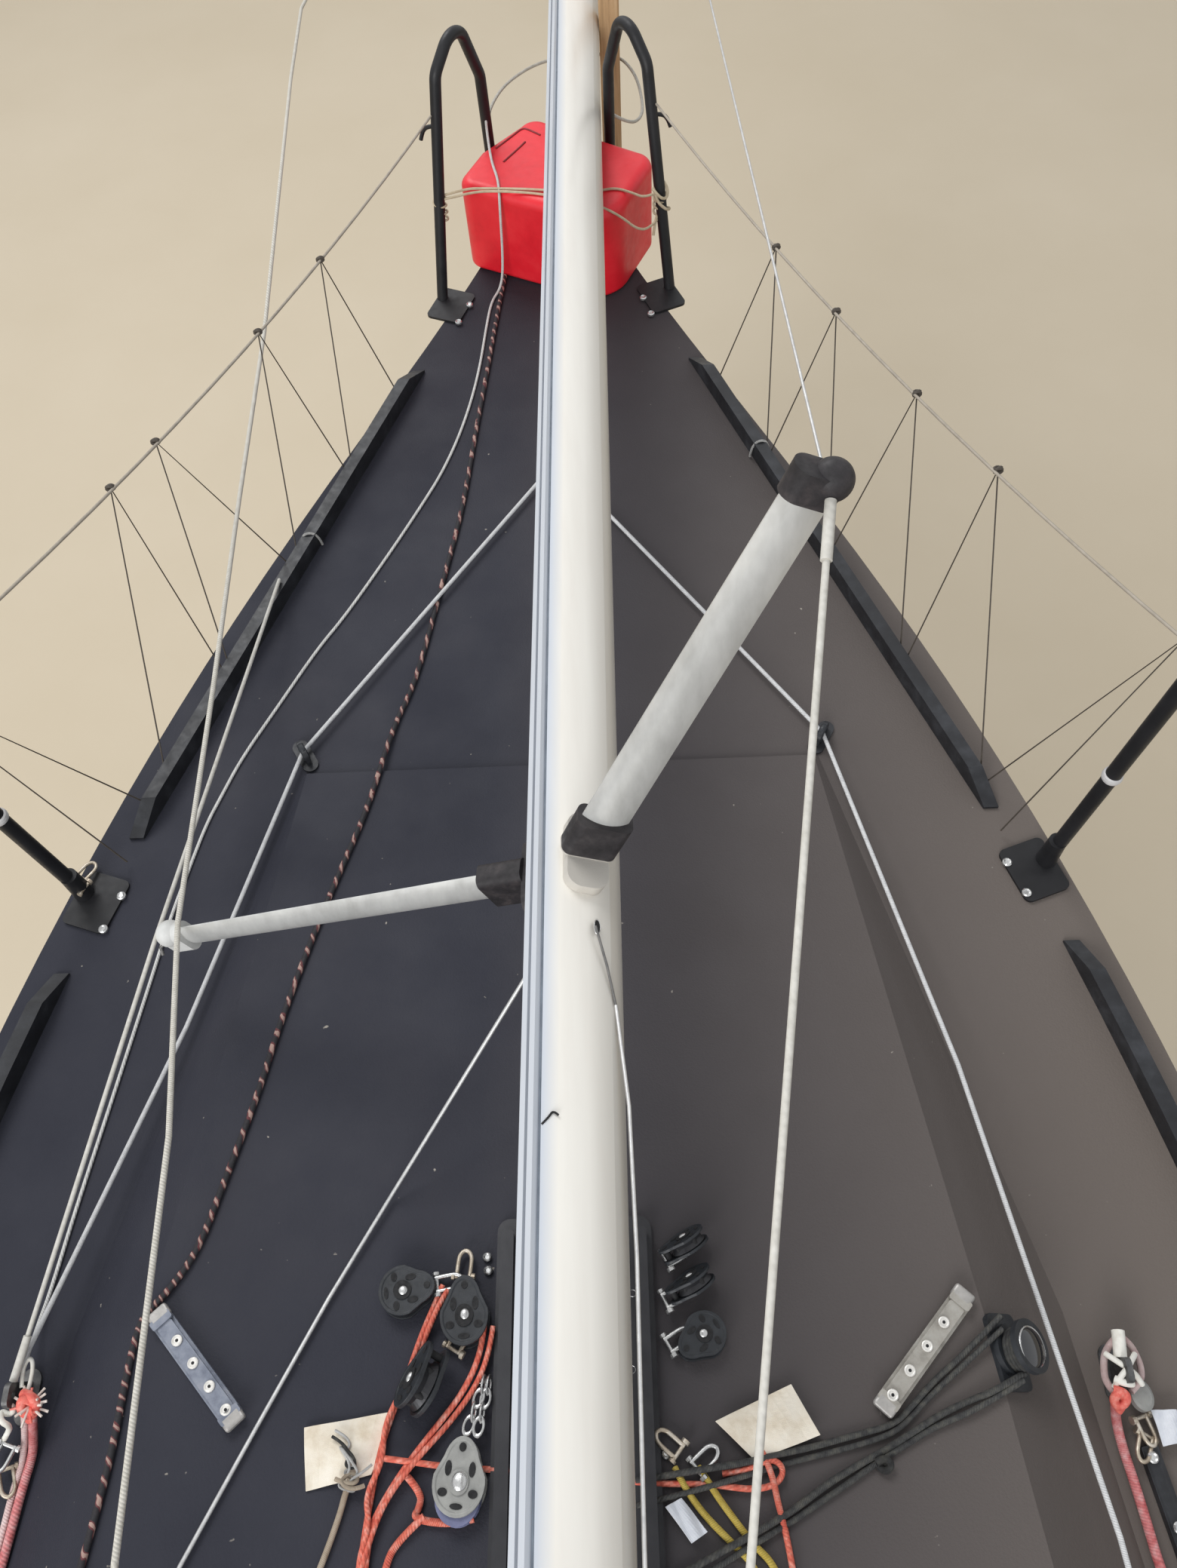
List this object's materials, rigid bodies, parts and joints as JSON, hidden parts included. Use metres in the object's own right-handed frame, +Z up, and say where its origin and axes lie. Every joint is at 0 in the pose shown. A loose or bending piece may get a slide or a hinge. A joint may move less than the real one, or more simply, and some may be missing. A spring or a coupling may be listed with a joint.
{
  "type": "sailboat ashore on a cradle",
  "caption": "Fin-keeled sportboat on a steel cradle, its mast unstepped and lying over the deck on a red can, with a steering rudder and a sliding hatch.",
  "frame": {"origin": "on the ground under the middle of the keel, at the underside of the cradle's middle beam", "axes": "+Y towards the bow, +X to starboard, +Z up"},
  "size_m": [2.57, 10.3305, 3.4642],
  "materials": {
    "hatch_paint": "satin dark gelcoat",
    "cradle_steel": "galvanised and painted",
    "pad_rubber": "rubber-faced",
    "deck_nonslip": "charcoal non-slip",
    "black_anodised": "black anodised",
    "hull_gelcoat": "gloss gelcoat",
    "can_red": "red polyethylene",
    "anodised": "anodised",
    "keel_iron": "painted",
    "wire": "grey covered wire",
    "mast_anodised": "silver anodised, weathered",
    "timber": "weathered timber",
    "black_tube": "black powder coat",
    "rudder_gelcoat": "gloss gelcoat",
    "steel": "stainless steel",
    "boot": "grey boot",
    "tiller_wood": "varnished",
    "black_rail": "black anodised, worn",
    "block_plastic": "black plastic",
    "smoked_acrylic": "smoked acrylic",
    "chrome": "polished"
  },
  "bodies": {
    "boat": {"cabin_windows": "smoked_acrylic", "chainplate_port": "steel", "chainplate_starboard": "steel", "coachroof": "deck_nonslip", "cradle_arms": "cradle_steel", "cradle_base": "cradle_steel", "cradle_pads": "pad_rubber", "deck": "deck_nonslip", "hatch_runners": "black_anodised", "hull": "hull_gelcoat", "jerrycan": "can_red", "jib_track_port": "anodised", "jib_track_starboard": "anodised", "keel_bulb": "keel_iron", "keel_fin": "keel_iron", "keel_timber": "timber", "lifeline_port": "wire", "lifeline_starboard": "wire", "line_drum": "block_plastic", "mainsheet_traveller": "black_anodised", "mast": "mast_anodised", "mast_crutch": "timber", "mast_heel": "mast_anodised", "mast_prop": "timber", "mast_step": "black_anodised", "masthead": "mast_anodised", "padeye_port": "steel", "padeye_starboard": "steel", "pulpit_port": "black_tube", "pulpit_starboard": "black_tube", "pushpit_port": "black_tube", "pushpit_starboard": "black_tube", "rudder_gudgeons": "steel", "shroud_port": "wire", "shroud_starboard": "wire", "spreader_boot_lower": "boot", "spreader_boot_upper": "boot", "spreader_bracket_lower": "mast_anodised", "spreader_bracket_upper": "mast_anodised", "spreader_lower": "mast_anodised", "spreader_upper": "mast_anodised", "stanchions_port": "black_tube", "stanchions_starboard": "black_tube", "toe_rail_port": "black_rail", "toe_rail_starboard": "black_rail", "turning_blocks_port": "block_plastic", "turning_blocks_starboard": "block_plastic", "washboard": "smoked_acrylic", "winch_port": "chrome", "winch_starboard": "chrome"},
    "rudder": {"rudder_blade": "rudder_gelcoat", "rudder_head": "steel", "tiller": "tiller_wood", "tiller_extension": "black_tube"},
    "hatch": {"companionway_hatch": "hatch_paint"}
  },
  "joints": [
    {"name": "rudder_turn", "type": "hinge", "parent": "boat", "child": "rudder", "pos_m": [0, -4.275, 1.9], "axis": [0, 0, 1], "range_deg": [-38, 38]},
    {"name": "hatch_slide", "type": "slide", "parent": "boat", "child": "hatch", "axis": [0, 0.9931, -0.1172], "range_m": [0, 0.4]}
  ]
}
